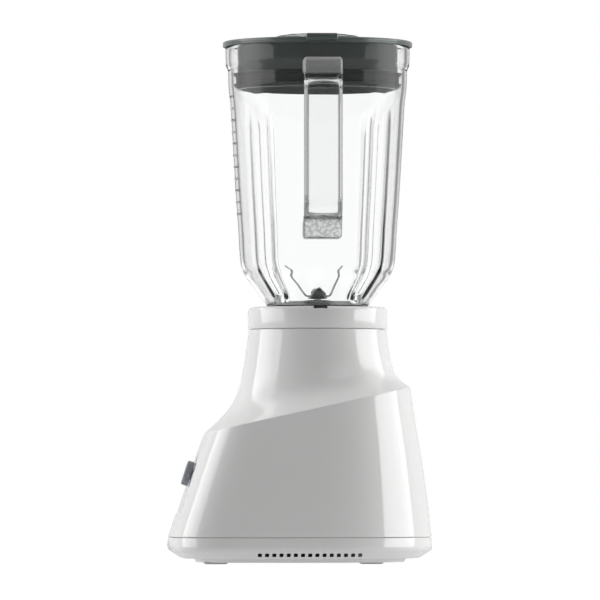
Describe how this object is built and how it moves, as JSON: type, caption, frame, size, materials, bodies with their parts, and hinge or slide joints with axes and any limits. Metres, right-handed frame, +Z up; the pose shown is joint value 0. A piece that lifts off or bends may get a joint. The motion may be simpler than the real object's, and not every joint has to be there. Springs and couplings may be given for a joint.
{
  "type": "countertop blender",
  "caption": "Kitchen blender: a clear fluted jug with handle, dark lid and measuring cup, lifting off a tapered white motor base with a front control knob.",
  "frame": {"origin": "middle of the base's footprint, on the table", "axes": "+Z up; -Y is the front, with the control knob; +X is the side of the jug's handle; the motor and jug axis stands at y = 13.2 mm"},
  "size_m": [0.1998, 0.1982, 0.3968],
  "materials": {
    "housing_white": "smooth moulded gloss white",
    "collar_white": "smooth moulded gloss white",
    "jug_clear": "clear moulded plastic",
    "cup_clear": "clear moulded plastic",
    "lid_grey": "satin dark grey-green moulding",
    "knob_grey": "satin bluish dark grey",
    "dial_silver": "fine satin pale grey",
    "black_plastic": "matt black moulding",
    "foot_rubber": "matt black rubber",
    "seal_rubber": "matt dark grey rubber",
    "blade_steel": "ground stainless steel",
    "screw_steel": "zinc plated",
    "bearing_steel": "ground bearing steel",
    "bracket_aluminium": "cast, as moulded",
    "core_iron": "stacked steel sheets",
    "coil_copper": "enamelled copper wire",
    "brush_carbon": "pressed carbon",
    "bush_bronze": "sintered bronze",
    "capacitor_yellow": "moulded case"
  },
  "bodies": {
    "base": {"motor_housing": "housing_white", "bottom_cover": "housing_white", "foot_front_left": "foot_rubber", "foot_front_right": "foot_rubber", "foot_rear_left": "foot_rubber", "foot_rear_right": "foot_rubber", "cover_screws": "screw_steel", "dial_plate": "dial_silver", "rotary_switch": "black_plastic", "switch_nut": "screw_steel", "cord_gland": "black_plastic", "interlock_switch": "black_plastic", "suppression_capacitor": "capacitor_yellow", "fan_shroud": "black_plastic", "stator_core": "core_iron", "field_coil_left": "coil_copper", "field_coil_right": "coil_copper", "upper_motor_bracket": "bracket_aluminium", "lower_motor_bracket": "bracket_aluminium", "upper_bearing": "bearing_steel", "lower_bearing": "bearing_steel", "motor_tie_bolts": "screw_steel", "motor_dampers": "foot_rubber", "motor_screws": "screw_steel", "brush_holder_front": "bush_bronze", "brush_holder_rear": "bush_bronze", "carbon_brushes": "brush_carbon", "deck_seal": "foot_rubber"},
    "rotor": {"armature_shaft": "bearing_steel", "armature_core": "core_iron", "armature_windings": "coil_copper", "commutator": "coil_copper", "cooling_fan": "black_plastic", "drive_coupling": "black_plastic"},
    "knob": {"control_knob": "knob_grey"},
    "plunger": {"interlock_plunger": "lid_grey"},
    "jug": {"jug": "jug_clear", "jug_collar": "collar_white", "blade_holder": "blade_steel", "jug_gasket": "seal_rubber", "upper_blade_bush": "bush_bronze", "lower_blade_bush": "bush_bronze"},
    "blades": {"driven_coupling": "black_plastic", "blade_shaft": "bearing_steel", "lower_blade": "blade_steel", "upper_blade": "blade_steel", "blade_nut": "blade_steel"},
    "lid": {"lid": "lid_grey", "lid_seal": "seal_rubber"},
    "cup": {"measuring_cup": "cup_clear"}
  },
  "joints": [
    {"name": "rotor_spin", "type": "hinge", "parent": "base", "child": "rotor", "pos_m": [0, 0.0132, 0.1], "axis": [0, 0, 1], "continuous": true},
    {"name": "knob_turn", "type": "hinge", "parent": "base", "child": "knob", "pos_m": [0, -0.0815, 0.0666], "axis": [0, -0.9511, 0.309], "range_deg": [-100, 40]},
    {"name": "interlock_press", "type": "slide", "parent": "base", "child": "plunger", "axis": [0, 0, -1], "range_m": [0, 0.002], "stiffness_N_per_m": 300},
    {"name": "jug_lift", "type": "slide", "parent": "base", "child": "jug", "axis": [0, 0, 1], "range_m": [0, 0.06]},
    {"name": "blade_spin", "type": "hinge", "parent": "jug", "child": "blades", "pos_m": [0, 0.0132, 0.19], "axis": [0, 0, 1], "continuous": true},
    {"name": "lid_lift", "type": "slide", "parent": "jug", "child": "lid", "axis": [0, 0, 1], "range_m": [0, 0.08]},
    {"name": "cup_lift", "type": "slide", "parent": "lid", "child": "cup", "axis": [0, 0, 1], "range_m": [0, 0.06]}
  ],
  "couplings": [
    {"joint": "blade_spin", "follows": "rotor_spin", "ratio": 1}
  ]
}
